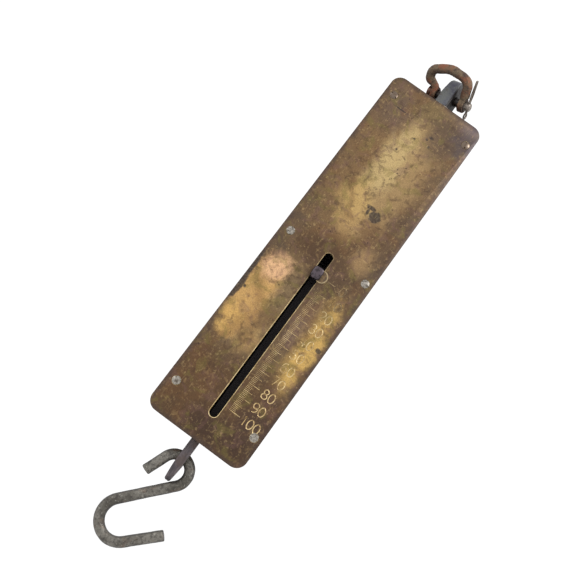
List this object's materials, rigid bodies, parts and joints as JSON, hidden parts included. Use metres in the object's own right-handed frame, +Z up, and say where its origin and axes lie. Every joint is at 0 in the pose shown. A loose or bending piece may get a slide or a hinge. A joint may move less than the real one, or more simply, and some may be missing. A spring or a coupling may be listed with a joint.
{
  "type": "hanging spring scale",
  "caption": "Straight hanging spring scale with an engraved brass face, slot pointer, swivelling top shackle and a steel S-hook under the drawbar.",
  "frame": {"origin": "the inside of the shackle's crown, where a supporting hook bears and the whole scale hangs from", "axes": "+Z up along the scale's length as it hangs, -Y out of the brass face, +X to the right when looking at the face"},
  "size_m": [0.07, 0.0322, 0.3783],
  "materials": {
    "aged_brass": "aged, mottled, worn",
    "rusty_iron": "rusted, forged",
    "dark_steel": "dark, oxidised",
    "worn_steel": "worn, dull",
    "screw_steel": "worn, bright slots",
    "cast_frame": "dark, rough",
    "spring_steel": "oiled, dark",
    "hook_steel": "galvanised, light rust"
  },
  "bodies": {
    "shackle": {"shackle_bow": "rusty_iron", "shackle_pin": "worn_steel", "cotter_pin": "worn_steel"},
    "swivel": {"swivel_eye": "dark_steel", "swivel_collar": "dark_steel", "collar_pin": "worn_steel"},
    "case": {"swivel_washer": "worn_steel", "front_plate": "aged_brass", "face_screws": "screw_steel", "back_plate": "dark_steel", "back_screws": "screw_steel", "left_rail": "cast_frame", "right_rail": "cast_frame", "top_block": "cast_frame", "left_hanger": "dark_steel", "right_hanger": "dark_steel", "hanger_pins": "worn_steel", "bottom_block": "cast_frame", "guide_bush": "aged_brass", "left_spring": "spring_steel", "right_spring": "spring_steel"},
    "drawbar": {"crosshead": "dark_steel", "drawbar": "dark_steel", "drawbar_rivets": "worn_steel", "pointer": "worn_steel", "pointer_index": "aged_brass"},
    "hook": {"s_hook": "hook_steel"}
  },
  "joints": [
    {"name": "shackle_fold", "type": "hinge", "parent": "shackle", "child": "swivel", "pos_m": [0.00839, 0.01111, -0.00945], "axis": [0.9205, -0.3907, 0], "range_deg": [-55, 165]},
    {"name": "swivel_turn", "type": "hinge", "parent": "swivel", "child": "case", "pos_m": [0.00839, 0.01111, -0.00945], "axis": [0, 0, 1], "continuous": true},
    {"name": "drawbar_pull", "type": "slide", "parent": "case", "child": "drawbar", "axis": [0, 0, -1], "range_m": [0, 0.103], "stiffness_N_per_m": 4448, "springref_m": -0.002, "deforming": ["left_spring", "right_spring"]},
    {"name": "hook_swing", "type": "hinge", "parent": "drawbar", "child": "hook", "pos_m": [0.00839, 0.01111, -0.31585], "axis": [0, -1, 0], "range_deg": [0, 60]}
  ]
}
